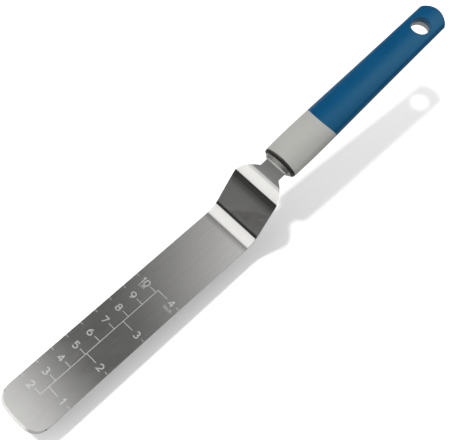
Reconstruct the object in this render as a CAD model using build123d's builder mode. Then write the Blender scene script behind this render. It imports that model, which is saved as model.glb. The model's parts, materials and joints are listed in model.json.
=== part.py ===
from build123d import *
import math
import os

# Offset spatula: a cranked stainless blade whose tang runs into a two-colour handle.
# Millimetres, +Z up, +X from the blade's tip towards the handle's end.
# The origin is the middle of the spatula's length and width, at the blade's underside.

# ---------------------------------------------------------------- driving dimensions
overall_length = 320.0        # tip to handle end, along X

# blade stamping
sheet = 1.2                   # stock thickness
blade_width = 31.0
tip_arc_radius = 60.0         # shallow curve across the tip
tip_corner_radius = 9.0
bevel_width = 1.35            # ground edge along the tip, fading out round its corners
bevel_depth = 0.4
bevel_run = 16.0              # behind the tip, past the corners
# side view of the sheet's underside: distance behind the tip, height, bend radius
crank_corners = (
    (149.7, 0.0, 60.0),       # the blade starts to lift
    (157.65, 0.3, 10.5),      # first bend
    (168.4, 20.8, 100.0),     # the crank eases over
    (173.35, 28.85, 7.6),     # second bend
    (177.6, 29.765, 30.0),    # the tang's straight line starts
)
neck_width = 13.2
shoulder_top = 170.9          # where the shoulders leave the full width, behind the tip
shoulder_middle = (176.6, 11.9)
shoulder_foot = 181.2         # where they meet the neck
shoulder_fillet = 2.0

# tang, hidden in the handle: distances behind the handle's mouth
tang_end = 96.0
tang_holes = (34.0, 72.0)
tang_hole_radius = 3.0

# handle
mouth = 189.8                 # tip to the handle's mouth, along X
handle_tilt = 8.9             # degrees, upwards from the blade
handle_length = 131.35        # mouth to end, along the handle's axis
# distance behind the mouth, half width, half thickness
handle_stations = (
    (0.0, 10.9, 7.3),
    (14.0, 11.15, 7.4),
    (30.0, 11.05, 7.2),
    (64.0, 10.45, 6.2),
    (108.0, 9.8, 4.9),
    (136.0, 9.55, 4.35),
)
side_rounding = 0.72          # radius of the handle's sides over its half thickness
end_arc_radius = 12.8
end_edge_fillet = 1.2
mouth_edge_fillet = 0.5

# grey core and blue cover: distances behind the handle's mouth
cover_start = 30.6
cover_bow_radius = 27.0       # the cover's leading edge bulges towards the blade
parting_drop = 0.3            # the cover's lower edge, below the handle's axis
cover_wall = 2.6              # the cover's thickness over the core's spine
spine_end = 100.0
spine_fillet = 1.5
seam_chamfer = 0.25           # along the cover's leading edge

# hanging hole
hole_radius = 5.5
hole_from_end = 15.5
hole_rim_fillet = 0.6

# front cap: distance behind the mouth, half width, half thickness
cap_rings = (
    (0.0, 10.75, 7.15),
    (-0.9, 10.6, 7.0),
    (-1.9, 9.0, 5.4),
    (-3.2, 7.7, 2.2),
)
cap_nose_fillet = 0.5
spigot_inset = 3.0            # the hidden spigot, inside the handle's surface
spigot_depth = 6.0

cutter = 60.0                 # size of the cutting prisms, past every solid

# ---------------------------------------------------------------- derived places
tip_x = -overall_length / 2
half_blade = blade_width / 2
half_neck = neck_width / 2
tip_sag = tip_arc_radius - math.sqrt(tip_arc_radius**2 - half_blade**2)
tang_line_x = tip_x + crank_corners[-1][0]
tang_line_z = crank_corners[-1][1]
tilt = math.radians(handle_tilt)
along = Vector(math.cos(tilt), 0, math.sin(tilt))
upward = Vector(-math.sin(tilt), 0, math.cos(tilt))
mouth_x = tip_x + mouth
mouth_z = tang_line_z + (mouth_x - tang_line_x) * math.tan(tilt) + sheet / 2 / math.cos(tilt)
mouth_centre = Vector(mouth_x, 0, mouth_z)
handle_plane = Plane(origin=mouth_centre, x_dir=along, z_dir=upward)
tang_foot = mouth_centre + along * tang_end - upward * (sheet / 2)
hole_at = handle_length - hole_from_end
hole_centre = mouth_centre + along * hole_at
mouth_half_width, mouth_half_height = handle_stations[0][1:]


def across_handle(distance):
    """Plane square to the handle's axis, the given distance behind its mouth."""
    return Plane(origin=mouth_centre + along * distance, x_dir=(0, 1, 0), z_dir=along)


def oval(half_width, half_height):
    """Four tangent arcs: shallow ones above and below, tight ones at the sides."""
    side = side_rounding * half_height
    flat = half_width - side
    crown = (flat**2 - side**2 + half_height**2) / (2 * (half_height - side))
    joint_x = flat + side * flat / (crown - side)
    joint_y = side * (crown - half_height) / (crown - side)
    with BuildSketch() as section:
        with BuildLine():
            ThreePointArc((-joint_x, joint_y), (0, half_height), (joint_x, joint_y))
            ThreePointArc((joint_x, joint_y), (half_width, 0), (joint_x, -joint_y))
            ThreePointArc((joint_x, -joint_y), (0, -half_height), (-joint_x, -joint_y))
            ThreePointArc((-joint_x, -joint_y), (-half_width, 0), (-joint_x, joint_y))
        make_face()
    return section.sketch


def tip_outline(setback):
    """The blade seen from above, back to bevel_run, with its tip set back."""
    front = tip_x + setback
    rear = tip_x + bevel_run
    with BuildSketch() as outline:
        with BuildLine():
            ThreePointArc((front + tip_sag, half_blade), (front, 0), (front + tip_sag, -half_blade))
            Polyline(
                (front + tip_sag, -half_blade),
                (rear, -half_blade),
                (rear, half_blade),
                (front + tip_sag, half_blade),
            )
        make_face()
        fillet(outline.vertices().group_by(Axis.X)[0], tip_corner_radius)
    return outline.sketch


# ---------------------------------------------------------------- blade
with BuildPart() as bevel_waste:
    with BuildSketch(Plane.XY.offset(sheet - bevel_depth)):
        with Locations((tip_x + bevel_run / 2, 0)):
            Rectangle(bevel_run, blade_width)
    extrude(amount=bevel_depth)
    with BuildSketch(Plane.XY.offset(sheet - bevel_depth)):
        add(tip_outline(0))
    with BuildSketch(Plane.XY.offset(sheet)):
        add(tip_outline(bevel_width))
    loft(ruled=True, mode=Mode.SUBTRACT)

with BuildPart() as blade:
    # side view: flat blade, crank and tang in one bent sheet
    with BuildSketch(Plane.XZ):
        with BuildLine():
            FilletPolyline(
                (tip_x, 0),
                *[(tip_x + behind, height) for behind, height, radius in crank_corners],
                (tang_foot.X, tang_foot.Z),
                radius=[radius for behind, height, radius in crank_corners],
            )
            offset(amount=sheet, side=Side.LEFT)
        make_face()
    extrude(amount=half_blade, both=True)
    # seen from above: rounded tip, shoulders and neck
    with BuildSketch(Plane.XY):
        with BuildLine():
            ThreePointArc((tip_x + tip_sag, half_blade), (tip_x, 0), (tip_x + tip_sag, -half_blade))
            for side in (-1, 1):
                Line((tip_x + tip_sag, side * half_blade), (tip_x + shoulder_top, side * half_blade))
                ThreePointArc(
                    (tip_x + shoulder_top, side * half_blade),
                    (tip_x + shoulder_middle[0], side * shoulder_middle[1]),
                    (tip_x + shoulder_foot, side * half_neck),
                )
                Line((tip_x + shoulder_foot, side * half_neck), (tang_foot.X, side * half_neck))
            Line((tang_foot.X, -half_neck), (tang_foot.X, half_neck))
        make_face()
        corners = vertices().group_by(Axis.X)
        fillet(corners[0], tip_corner_radius)
        fillet(corners[-2], shoulder_fillet)
    extrude(amount=cutter, mode=Mode.INTERSECT)
    add(bevel_waste.part, mode=Mode.SUBTRACT)
    # holes in the tang, which the core's pegs fill
    with BuildSketch(handle_plane.offset(-sheet)):
        with Locations(*[(distance, 0) for distance in tang_holes]):
            Circle(tang_hole_radius)
    extrude(amount=2 * sheet, mode=Mode.SUBTRACT)

# ---------------------------------------------------------------- handle, as one form
with BuildPart() as handle_form:
    for distance, half_width, half_height in handle_stations:
        with BuildSketch(across_handle(distance)):
            add(oval(half_width, half_height))
    loft()
    fillet(faces().sort_by(Axis.X)[0].edges(), mouth_edge_fillet)
    # seen from above, the end is one arc
    with BuildSketch(handle_plane.offset(-cutter / 2)):
        with Locations((handle_length - end_arc_radius, 0)):
            Circle(end_arc_radius)
            Rectangle(handle_length, cutter, align=(Align.MAX, Align.CENTER))
    extrude(amount=cutter, mode=Mode.INTERSECT)
    end_wall = faces().filter_by(GeomType.CYLINDER).sort_by(Axis.X)[-1]
    fillet(end_wall.edges(), end_edge_fillet)

# ---------------------------------------------------------------- front cap
with BuildPart() as front_cap:
    # a rim band, its rounding, then a steep face down to the neck
    for rear_ring, front_ring in zip(cap_rings, cap_rings[1:]):
        for distance, half_width, half_height in (rear_ring, front_ring):
            with BuildSketch(across_handle(distance)):
                add(oval(half_width, half_height))
        loft(ruled=True)
    fillet(faces().sort_by(Axis.X)[0].edges(), cap_nose_fillet)
    with BuildSketch(across_handle(0)):
        add(oval(mouth_half_width - spigot_inset, mouth_half_height - spigot_inset))
    extrude(amount=spigot_depth)
    add(blade.part, mode=Mode.SUBTRACT)

# ---------------------------------------------------------------- core and cover
with BuildPart() as hole:
    with BuildSketch(handle_plane.offset(-cutter / 2)):
        with Locations((hole_at, 0)):
            Circle(hole_radius)
    extrude(amount=cutter)

with BuildPart() as spine:
    for distance, half_width, half_height in handle_stations:
        with BuildSketch(across_handle(distance)):
            add(oval(half_width - cover_wall, half_height - cover_wall))
    loft()
    split(bisect_by=across_handle(spine_end), keep=Keep.BOTTOM)
    fillet(faces().sort_by(Axis.X)[-1].edges(), spine_fillet)

with BuildPart() as cover_form:
    add(handle_form.part)
    with BuildSketch(handle_plane.offset(-parting_drop)):
        with Locations((cover_start + cover_bow_radius, 0)):
            Circle(cover_bow_radius)
            Rectangle(handle_length, cutter, align=(Align.MIN, Align.CENTER))
    extrude(amount=cutter, mode=Mode.INTERSECT)

with BuildPart() as grip_cover:
    add(cover_form.part)
    leading = faces().filter_by(GeomType.CYLINDER).sort_by(Axis.X)[0]
    chamfer(leading.edges().sort_by(Axis(mouth_centre, upward))[1:], seam_chamfer)
    add(spine.part, mode=Mode.SUBTRACT)
    add(hole.part, mode=Mode.SUBTRACT)
    hole_wall = faces().filter_by(GeomType.CYLINDER).sort_by_distance(hole_centre)[0]
    fillet(hole_wall.edges().group_by(Axis.Z)[-1], hole_rim_fillet)

with BuildPart() as handle_core:
    add(handle_form.part)
    add(cover_form.part, mode=Mode.SUBTRACT)
    add(spine.part)
    for piece in (front_cap, blade, hole):
        add(piece.part, mode=Mode.SUBTRACT)
    hole_wall = faces().filter_by(GeomType.CYLINDER).sort_by_distance(hole_centre)[0]
    fillet(hole_wall.edges().group_by(Axis.Z)[0], hole_rim_fillet)

# ---------------------------------------------------------------- files
os.makedirs("parts", exist_ok=True)
blade.part.label = "blade"
export_step(blade.part, "parts/blade.step")
front_cap.part.label = "front_cap"
export_step(front_cap.part, "parts/front_cap.step")
handle_core.part.label = "handle_core"
export_step(handle_core.part, "parts/handle_core.step")
grip_cover.part.label = "grip_cover"
export_step(grip_cover.part, "parts/grip_cover.step")
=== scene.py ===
import json
import math
import bmesh
import bpy
from mathutils import Matrix, Vector


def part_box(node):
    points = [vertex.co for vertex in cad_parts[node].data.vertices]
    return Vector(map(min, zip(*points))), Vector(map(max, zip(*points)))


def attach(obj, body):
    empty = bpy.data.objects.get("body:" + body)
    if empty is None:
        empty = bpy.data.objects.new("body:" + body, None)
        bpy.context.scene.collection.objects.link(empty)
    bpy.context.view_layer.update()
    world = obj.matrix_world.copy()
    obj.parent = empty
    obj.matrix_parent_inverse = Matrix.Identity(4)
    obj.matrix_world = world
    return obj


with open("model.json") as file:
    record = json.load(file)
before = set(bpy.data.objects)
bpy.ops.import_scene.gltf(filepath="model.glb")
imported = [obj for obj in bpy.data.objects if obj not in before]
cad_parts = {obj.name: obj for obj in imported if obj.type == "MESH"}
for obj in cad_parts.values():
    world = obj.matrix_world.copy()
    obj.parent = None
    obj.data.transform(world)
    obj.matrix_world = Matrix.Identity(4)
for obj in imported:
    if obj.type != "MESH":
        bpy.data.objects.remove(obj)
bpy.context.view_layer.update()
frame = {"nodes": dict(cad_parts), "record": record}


# ---------------------------------------------------------------- the hanging hole and the painted dark reflection on the cap's rim
hole_mount = next(mount for mount in frame["record"]["mounts"] if mount["kind"] == "bore")
HOLE = Vector(hole_mount["pos_m"])
HOLE_WAY = Vector(hole_mount["axis"])
HANDLE_WAY = Vector((HOLE_WAY.z, 0, -HOLE_WAY.x))
HOLE_BEHIND_MOUTH = 0.11585   # along the handle, from its mouth
PAINTED_RIM_LENGTH = 0.00175                 # length of the painted dark reflection on the cap's rim, ahead of the handle's mouth
# the soft edge and the colour of the painted dark reflection on the cap's rim
PAINTED_RIM_BLUR = 0.00015
PAINTED_RIM_REFLECTION_COLOUR = (0.075, 0.073, 0.066)


# ---------------------------------------------------------------- node helpers
def link(tree, value, socket):
    """Sets a socket from a number, a colour or another node's output."""
    if isinstance(value, bpy.types.NodeSocket):
        tree.links.new(value, socket)
    else:
        socket.default_value = value


def node(tree, kind, settings=None, **inputs):
    """Adds a node. A keyword names its socket, with _ for a space, or is n and the socket's number."""
    made = tree.nodes.new(kind)
    for name, value in (settings or {}).items():
        setattr(made, name, value)
    for name, value in inputs.items():
        key = name.replace("_", " ")
        socket = made.inputs[int(key[1:])] if key[0] == "n" and key[1:].isdigit() else made.inputs[key]
        link(tree, value, socket)
    return made


def maths(tree, operation, *values):
    made = tree.nodes.new("ShaderNodeMath")
    made.operation = operation
    for value, socket in zip(values, made.inputs):
        link(tree, value, socket)
    return made.outputs[0]


def total(tree, *values):
    made = values[0]
    for value in values[1:]:
        made = maths(tree, "ADD", made, value)
    return made


def product(tree, *values):
    made = values[0]
    for value in values[1:]:
        made = maths(tree, "MULTIPLY", made, value)
    return made


def ramp(tree, value, low, high, to_low=0.0, to_high=1.0):
    """Smooth step from to_low at low to to_high at high."""
    made = tree.nodes.new("ShaderNodeMapRange")
    made.interpolation_type = "SMOOTHSTEP"
    for socket, number in zip(made.inputs, (value, low, high, to_low, to_high)):
        link(tree, number, socket)
    return made.outputs[0]


# ---------------------------------------------------------------- light
WHITE = (1.0, 1.0, 1.0, 1.0)


def add_world():
    """The studio as the steel and the plastics mirror it; the camera sees plain white.

    Each light is a product of ramps. A ramp says where along x, y or z, the parts of the direction
    looked in, the light begins and is full, and how strong it is at those two places."""
    world = bpy.data.worlds.new("studio")
    bpy.context.scene.world = world
    world.use_nodes = True
    tree = world.node_tree
    tree.nodes.clear()
    direction = node(tree, "ShaderNodeTexCoord").outputs["Generated"]
    x, y, z = node(tree, "ShaderNodeSeparateXYZ", Vector=direction).outputs
    # a big softbox overhead and ahead of the tip, brightest towards +Y
    front = product(
        tree,
        total(tree, ramp(tree, x, 0.175, 0.07, 0, 0.90), ramp(tree, x, 0.07, 0.0, 0, 0.30)),
        ramp(tree, z, 0.20, 0.26),
        ramp(tree, y, 0.06, 0.20, 0.4, 1.0),
    )
    # a smaller one between overhead and the handle, brightest towards -Y
    rear = product(
        tree,
        ramp(tree, x, 0.20, 0.42),
        ramp(tree, y, 0.45, -0.10, 0, 2.05),
        ramp(tree, y, -0.75, -0.20, 0.35, 1.0),
        ramp(tree, z, 0.2, 0.5),
        ramp(tree, x, 0.43, 0.62, 1.0, 0.25),
    )
    # the dim room between them, and the wall behind the handle
    gap = product(tree, ramp(tree, y, 0.55, 0.25, 0.07, 0.135), ramp(tree, z, 0.3, 0.8, 0.25, 1.0))
    wall = product(tree, ramp(tree, x, 0.5, 0.8, 0, 0.25), ramp(tree, z, 0.0, 0.3))
    # the table below, and a low window at +Y
    table = total(tree, ramp(tree, z, 0.0, -0.14, 0, 0.18), ramp(tree, z, -0.25, -0.5, 0, 0.25))
    window = product(tree, ramp(tree, y, 0.6, 0.9), ramp(tree, z, 0.3, -0.05, 0, 0.6))
    strength = total(tree, front, rear, gap, table, window, wall)
    seen = node(tree, "ShaderNodeLightPath").outputs["Is Camera Ray"]
    studio = node(tree, "ShaderNodeBackground", Color=WHITE, Strength=strength)
    backdrop = node(tree, "ShaderNodeBackground", Color=WHITE, Strength=1.0)
    mix = node(tree, "ShaderNodeMixShader", n0=seen, n1=studio.outputs[0], n2=backdrop.outputs[0])
    node(tree, "ShaderNodeOutputWorld", Surface=mix.outputs[0])


def add_sun(name, energy, width, toward):
    """A lamp, width degrees across, for the plastics, the floor and the shadow; nothing mirrors it."""
    data = bpy.data.lights.new(name, "SUN")
    data.energy = energy
    data.angle = math.radians(width)
    sun = bpy.data.objects.new(name, data)
    sun.rotation_euler = Vector(toward).to_track_quat("Z", "Y").to_euler()
    sun.visible_glossy = False
    bpy.context.scene.collection.objects.link(sun)


# ---------------------------------------------------------------- camera
CAMERA = Vector((-0.1966, -0.1313, 0.4588))
AIM = Vector((-0.0008, 0.0031, 0.0))
ROLL = math.radians(11.0)
LENS = 71.15                  # on a frame 36 mm wide


def add_camera():
    """Above the blade's right-hand side, near its tip, looking down along the spatula."""
    forward = (AIM - CAMERA).normalized()
    level = forward.cross(Vector((0, 0, 1))).normalized()
    up = level.cross(forward)
    right = math.cos(ROLL) * level + math.sin(ROLL) * up
    up = right.cross(forward)
    data = bpy.data.cameras.new("camera")
    data.lens = LENS
    data.sensor_width = 36.0
    data.clip_start = 0.01
    camera = bpy.data.objects.new("camera", data)
    camera.matrix_world = Matrix((
        (right.x, up.x, -forward.x, CAMERA.x),
        (right.y, up.y, -forward.y, CAMERA.y),
        (right.z, up.z, -forward.z, CAMERA.z),
        (0, 0, 0, 1),
    ))
    bpy.context.scene.collection.objects.link(camera)
    bpy.context.scene.camera = camera


# ---------------------------------------------------------------- materials
# the Mix node's sockets for its share, two colours and result: their names repeat
MIX_SHARE = 0
MIX_FIRST = 6
MIX_SECOND = 7
MIX_RESULT = 2


def new_material(name):
    material = bpy.data.materials.new(name)
    material.use_nodes = True
    tree = material.node_tree
    return material, tree, tree.nodes["Principled BSDF"]


def noise(tree, scales, detail=2.0, roughness=0.5):
    """Noise whose grains are 1/scale metres long along X, Y and Z of the object's own frame."""
    place = node(tree, "ShaderNodeTexCoord").outputs["Object"]
    stretched = node(tree, "ShaderNodeMapping", Vector=place, Scale=scales).outputs[0]
    made = node(tree, "ShaderNodeTexNoise", Vector=stretched, Scale=1.0, Detail=detail, Roughness=roughness)
    return made.outputs["Fac"]


def between(tree, value, low, high):
    """Spreads a noise value, which stays near its middle, from low to high."""
    return ramp(tree, value, 0.25, 0.75, low, high)


def blend(tree, share, first, second):
    """Mixes two colours, each an RGB tuple or a node's output."""
    made = node(tree, "ShaderNodeMix", {"data_type": "RGBA"})
    colours = [(*colour, 1) if isinstance(colour, tuple) else colour for colour in (first, second)]
    link(tree, share, made.inputs[MIX_SHARE])
    link(tree, colours[0], made.inputs[MIX_FIRST])
    link(tree, colours[1], made.inputs[MIX_SECOND])
    return made.outputs[MIX_RESULT]


def bump(tree, height, distance, strength):
    return node(tree, "ShaderNodeBump", Height=height, Distance=distance, Strength=strength).outputs[0]


def steel(name, dark, light, roughness, anisotropy, line_scales, streak_scales):
    """Stainless steel with fine lines, broader streaks and faint smudges."""
    material, tree, shader = new_material(name)
    lines = noise(tree, line_scales, 3)
    streaks = noise(tree, streak_scales, 2)
    smudges = noise(tree, (70, 90, 70), 3)
    rough = maths(tree, "ADD", between(tree, lines, -0.02, 0.03), between(tree, smudges, -0.01, 0.015))
    link(tree, maths(tree, "ADD", rough, roughness), shader.inputs["Roughness"])
    tone = maths(tree, "ADD", between(tree, streaks, 0, 0.6), between(tree, lines, 0, 0.4))
    link(tree, blend(tree, tone, dark, light), shader.inputs["Base Color"])
    link(tree, bump(tree, lines, 0.000003, 0.3), shader.inputs["Normal"])
    across = node(tree, "ShaderNodeCombineXYZ", X=0.0, Y=1.0, Z=0.0).outputs[0]
    link(tree, across, shader.inputs["Tangent"])
    shader.inputs["Metallic"].default_value = 1.0
    shader.inputs["Anisotropic"].default_value = anisotropy
    return material


def blade_steel():
    """Brushed along the blade."""
    return steel(
        "blade_steel",
        dark=(0.61, 0.605, 0.59),
        light=(0.65, 0.645, 0.63),
        roughness=0.13,
        anisotropy=0.5,
        line_scales=(90, 7000, 90),
        streak_scales=(14, 1100, 14),
    )


def cap_steel():
    """Drawn cap with a dull satin face, and a painted dark reflection on the rim that meets the handle."""
    material = steel(
        "cap_steel",
        dark=(0.44, 0.44, 0.43),
        light=(0.49, 0.49, 0.48),
        roughness=0.26,
        anisotropy=0.0,
        line_scales=(2600, 2600, 2600),
        streak_scales=(400, 400, 400),
    )
    tree = material.node_tree
    base = tree.nodes["Principled BSDF"].inputs["Base Color"]
    # painted reflection: a dark base colour on a band of the rim, just ahead of the handle's mouth
    behind = node(tree, "ShaderNodeVectorMath", {"operation": "DOT_PRODUCT"})
    link(tree, node(tree, "ShaderNodeTexCoord").outputs["Object"], behind.inputs[0])
    link(tree, HANDLE_WAY, behind.inputs[1])
    painted_rim_start = HOLE.dot(HANDLE_WAY) - HOLE_BEHIND_MOUTH - PAINTED_RIM_LENGTH
    share = ramp(tree, behind.outputs["Value"], painted_rim_start - PAINTED_RIM_BLUR, painted_rim_start + PAINTED_RIM_BLUR)
    link(tree, blend(tree, share, base.links[0].from_socket, PAINTED_RIM_REFLECTION_COLOUR), base)
    return material


def moulded_plastic(name, dark, light, roughness, grain, sheen=(1, 1, 1)):
    """Satin plastic from a spark-eroded mould, with fine grain and slow changes of tone and gloss.

    grain is the noise scale of its pores, and sheen the tint of its highlights."""
    material, tree, shader = new_material(name)
    pores = noise(tree, (grain, grain, grain), 2)
    clouds = noise(tree, (45, 60, 60), 3)
    link(tree, blend(tree, between(tree, clouds, 0, 1), dark, light), shader.inputs["Base Color"])
    rough = maths(tree, "ADD", between(tree, clouds, -0.03, 0.03), between(tree, pores, -0.04, 0.04))
    link(tree, maths(tree, "ADD", rough, roughness), shader.inputs["Roughness"])
    link(tree, bump(tree, pores, 0.00002, 0.35), shader.inputs["Normal"])
    shader.inputs["IOR"].default_value = 1.5
    shader.inputs["Specular Tint"].default_value = (*sheen, 1)
    return material


def grey_plastic():
    """Light, warm grey and matt."""
    return moulded_plastic(
        "grey_plastic",
        dark=(0.272, 0.273, 0.255),
        light=(0.292, 0.293, 0.275),
        roughness=0.5,
        grain=2800,
    )


def blue_plastic():
    """Deep blue and glossier, with blue highlights."""
    return moulded_plastic(
        "blue_plastic",
        dark=(0.0004, 0.046, 0.114),
        light=(0.0006, 0.050, 0.124),
        roughness=0.30,
        grain=3200,
        sheen=(0.45, 0.85, 0.95),
    )


def etched_steel():
    """Frosted marks: the etching scatters part of the light where the brushing mirrored it."""
    material, tree, shader = new_material("etched_steel")
    frost = noise(tree, (9000, 9000, 9000), 1)
    tone = blend(tree, between(tree, frost, 0, 1), (0.70, 0.70, 0.69), (0.76, 0.76, 0.75))
    link(tree, tone, shader.inputs["Base Color"])
    link(tree, between(tree, frost, 0.18, 0.26), shader.inputs["Roughness"])
    shader.inputs["Metallic"].default_value = 0.8
    return material


def finish_nodes():
    """The CAD nodes keep their shape and take these materials."""
    finishes = {
        "blade": blade_steel(),
        "front_cap": cap_steel(),
        "handle_core": grey_plastic(),
        "grip_cover": blue_plastic(),
    }
    for name, material in finishes.items():
        frame["nodes"][name].data.materials.clear()
        frame["nodes"][name].data.materials.append(material)


# ---------------------------------------------------------------- etched scale
SHEET = 0.0012                # blade thickness
SCALE_START = -0.0023         # the scale's zero, ahead of the tip
SPINE_Y = 0.00045             # the scale's centre line
LINE = 0.00042                # width of its lines
PROUD = 0.00001               # height of the marks over the steel
LAYER = 0.000003              # step in height between strokes that cross, so that they share no face
CM_LAYER = 1
INCH_LAYER = 2
CM = 0.01
INCH = 0.0254
FIRST_CM = 2                  # the first number and tick on the centimetre side
LAST_CM = 10
LAST_INCH = 4
CM_TICK = 0.0043              # out from the centre line
INCH_TICK = 0.0071
EDGE_GAP = 0.0002             # the edge ticks stop short of the blade's edge
EDGE_CM_END = 0.0019          # their inner ends, in from the edge
EDGE_INCH_END = 0.0021
CM_NUMBER = 0.0073            # middle of the numbers, out from the centre line
LAST_CM_NUMBER = 0.0081
INCH_NUMBER = 0.0105
UNIT_CM_PLACE = (0.0973, 0.0080)     # from the zero, and out from the centre line
UNIT_INCH_PLACE = (0.0978, -0.0112)
DIGIT = 0.0037                # height of the numbers, between the middles of their strokes
DIGIT_LINE = 0.00068
UNIT = 0.0021                 # height of the unit names' tall letters
UNIT_LINE = 0.00034
LETTER_GAP = 0.3              # between letters, over their height
ARC_STEP = 15                 # degrees
SHARPEST_MITRE = 0.5          # cosine of half the sharpest turn that is mitred in full
blade_low, blade_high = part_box("blade")
zero_x = blade_low.x + SCALE_START


def arc(x, y, across, high, start, stop):
    """Points of an elliptical arc, anticlockwise from start to stop in degrees."""
    steps = max(2, round(abs(stop - start) / ARC_STEP))
    angles = [math.radians(start + (stop - start) * step / steps) for step in range(steps + 1)]
    return [(x + across * math.cos(angle), y + high * math.sin(angle)) for angle in angles]


# half width and strokes of each letter, one unit high, centred on x = 0
LETTERS = {
    "0": (0.36, [arc(0, 0.5, 0.36, 0.5, 0, 360)]),
    "1": (0.16, [[(-0.16, 0.78), (0.12, 1), (0.12, 0)]]),
    "2": (0.36, [arc(0, 0.69, 0.34, 0.31, 165, -35) + [(-0.36, 0), (0.36, 0)]]),
    "3": (0.36, [arc(0, 0.76, 0.3, 0.24, 150, -90), arc(0, 0.27, 0.36, 0.27, 90, -150)]),
    "4": (0.36, [[(0.16, 0), (0.16, 1)], [(0.16, 1), (-0.36, 0.27), (0.36, 0.27)]]),
    "5": (0.36, [[(0.3, 1), (-0.24, 1), (-0.29, 0.56)] + arc(0, 0.33, 0.36, 0.33, 130, -150)]),
    "6": (0.36, [arc(0, 0.31, 0.36, 0.31, 0, 360), arc(0.3, 0.31, 0.66, 0.69, 180, 103)]),
    "7": (0.36, [[(-0.36, 1), (0.36, 1), (-0.12, 0)]]),
    "8": (0.36, [arc(0, 0.76, 0.29, 0.24, 0, 360), arc(0, 0.26, 0.36, 0.26, 0, 360)]),
    "9": (0.36, [arc(0, 0.69, 0.36, 0.31, 0, 360), arc(-0.3, 0.69, 0.66, 0.69, 0, -77)]),
    "c": (0.25, [arc(0, 0.32, 0.25, 0.32, 50, 310)]),
    "m": (0.42, [[(-0.42, 0.64), (-0.42, 0)], arc(-0.21, 0.43, 0.21, 0.21, 180, 0) + [(0, 0)],
                 arc(0.21, 0.43, 0.21, 0.21, 180, 0) + [(0.42, 0)]]),
    "i": (0.0, [[(0, 0.64), (0, 0)], [(0, 1), (0, 0.86)]]),
    "n": (0.25, [[(-0.25, 0.64), (-0.25, 0)], arc(0, 0.39, 0.25, 0.25, 180, 0) + [(0.25, 0)]]),
    "h": (0.25, [[(-0.25, 1), (-0.25, 0)], arc(0, 0.39, 0.25, 0.25, 180, 0) + [(0.25, 0)]]),
}


def stroke(mesh, points, width, layer=0):
    """A thin closed ribbon along the points on the blade's upper face, mitred where it turns."""
    bottom = SHEET - PROUD
    top = SHEET + PROUD + layer * LAYER
    points = [Vector(point) for point in points]
    closed = (points[0] - points[-1]).length < PROUD
    if closed:
        points.pop()
    rings = []
    for index, point in enumerate(points):
        before = points[index - 1] if closed or index else point
        after = points[(index + 1) % len(points)] if closed or index + 1 < len(points) else point
        into = (point - before).normalized() if point != before else (after - point).normalized()
        out = (after - point).normalized() if point != after else into
        middle = (into + out).normalized()
        half = width / 2 / max(SHARPEST_MITRE, middle.dot(into))
        across = Vector((-middle.y, middle.x)) * half
        ring = []
        for side, height in ((-1, bottom), (1, bottom), (1, top), (-1, top)):
            ring.append(mesh.verts.new((point + side * across).to_3d() + Vector((0, 0, height))))
        rings.append(ring)
    pairs = list(zip(rings, rings[1:]))
    if closed:
        pairs.append((rings[-1], rings[0]))
    else:
        mesh.faces.new(rings[0])
        mesh.faces.new(reversed(rings[-1]))
    for ring, following in pairs:
        for corner in range(len(ring)):
            beside = (corner + 1) % len(ring)
            mesh.faces.new((ring[corner], following[corner], following[beside], ring[beside]))


def add_marks(name, mesh, material):
    bmesh.ops.recalc_face_normals(mesh, faces=mesh.faces)
    data = bpy.data.meshes.new(name)
    mesh.to_mesh(data)
    mesh.free()
    data.materials.append(material)
    piece = bpy.data.objects.new(name, data)
    bpy.context.scene.collection.objects.link(piece)
    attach(piece, "root")


def add_scale_lines(material):
    """Centre line, ticks from it towards the numbers, and ticks at both edges of the blade."""
    mesh = bmesh.new()
    start_x = zero_x + FIRST_CM * CM
    end_x = zero_x + LAST_INCH * INCH + LINE / 2
    stroke(mesh, [(start_x, SPINE_Y), (end_x, SPINE_Y)], LINE)
    for cm in range(FIRST_CM, LAST_CM + 1):
        x = zero_x + cm * CM
        stroke(mesh, [(x, SPINE_Y), (x, SPINE_Y + CM_TICK)], LINE, CM_LAYER)
        stroke(mesh, [(x, blade_high.y - EDGE_GAP), (x, blade_high.y - EDGE_CM_END)], LINE)
    for inch in range(1, LAST_INCH + 1):
        x = zero_x + inch * INCH
        stroke(mesh, [(x, SPINE_Y), (x, SPINE_Y - INCH_TICK)], LINE, INCH_LAYER)
        stroke(mesh, [(x, blade_low.y + EDGE_GAP), (x, blade_low.y + EDGE_INCH_END)], LINE)
    add_marks("scale_lines", mesh, material)


def lettering(name, text, x, y, height, line, material):
    """One number or unit centred on x and y, read with the handle upwards."""
    mesh = bmesh.new()
    width = sum(2 * LETTERS[letter][0] for letter in text) + LETTER_GAP * (len(text) - 1)
    along = -width / 2
    for letter in text:
        half, strokes = LETTERS[letter]
        along += half
        for layer, points in enumerate(strokes):
            placed = [(x + (up - 0.5) * height, y - (along + right) * height) for right, up in points]
            stroke(mesh, placed, line, layer)
        along += half + LETTER_GAP
    add_marks(name, mesh, material)


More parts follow.
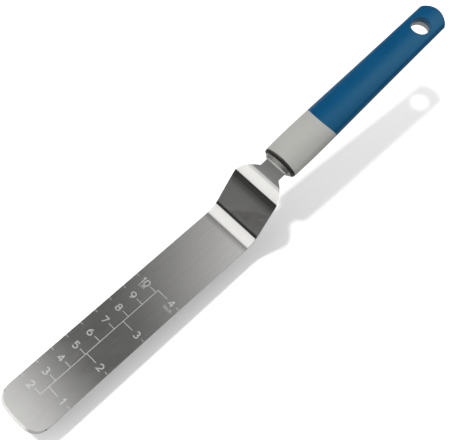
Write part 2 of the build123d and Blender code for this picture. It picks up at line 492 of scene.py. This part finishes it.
def add_scale_numbers(material):
    """Centimetres on one side of the centre line and inches on the other, each with its unit."""
    for cm in range(FIRST_CM, LAST_CM + 1):
        x = zero_x + cm * CM
        out = LAST_CM_NUMBER if cm == LAST_CM else CM_NUMBER
        lettering(f"scale_cm_{cm}", str(cm), x, SPINE_Y + out, DIGIT, DIGIT_LINE, material)
    for inch in range(1, LAST_INCH + 1):
        x = zero_x + inch * INCH
        lettering(f"scale_inch_{inch}", str(inch), x, SPINE_Y - INCH_NUMBER, DIGIT, DIGIT_LINE, material)
    for unit, (behind, out) in (("cm", UNIT_CM_PLACE), ("inch", UNIT_INCH_PLACE)):
        lettering(f"scale_unit_{unit}", unit, zero_x + behind, SPINE_Y + out, UNIT, UNIT_LINE, material)


# ---------------------------------------------------------------- stage
FLOOR_Z = -0.0175
FLOOR_FRONT = -0.30
FLOOR_BACK = 0.45
FLOOR_SIDE = 0.35


def add_floor():
    """A pale table a little below the spatula; nothing mirrors it, as the studio has its own."""
    outline = (
        (FLOOR_FRONT, -FLOOR_SIDE),
        (FLOOR_BACK, -FLOOR_SIDE),
        (FLOOR_BACK, FLOOR_SIDE),
        (FLOOR_FRONT, FLOOR_SIDE),
    )
    mesh = bmesh.new()
    mesh.faces.new([mesh.verts.new((x, y, FLOOR_Z)) for x, y in outline])
    data = bpy.data.meshes.new("floor")
    mesh.to_mesh(data)
    mesh.free()
    material, _, shader = new_material("floor_paper")
    shader.inputs["Base Color"].default_value = (0.88, 0.88, 0.88, 1)
    shader.inputs["Roughness"].default_value = 1.0
    shader.inputs["Specular IOR Level"].default_value = 0.0
    data.materials.append(material)
    floor = bpy.data.objects.new("floor", data)
    bpy.context.scene.collection.objects.link(floor)
    floor.visible_glossy = False


# ---------------------------------------------------------------- the whole scene
add_camera()
finish_nodes()
etching = etched_steel()
add_scale_lines(etching)
add_scale_numbers(etching)
add_floor()
add_world()
add_sun("key", energy=1.8, width=5, toward=(-0.157, 0.228, 1))
add_sun("fill", energy=1.0, width=160, toward=(0, 0, 1))
bpy.context.scene.view_settings.view_transform = "Standard"
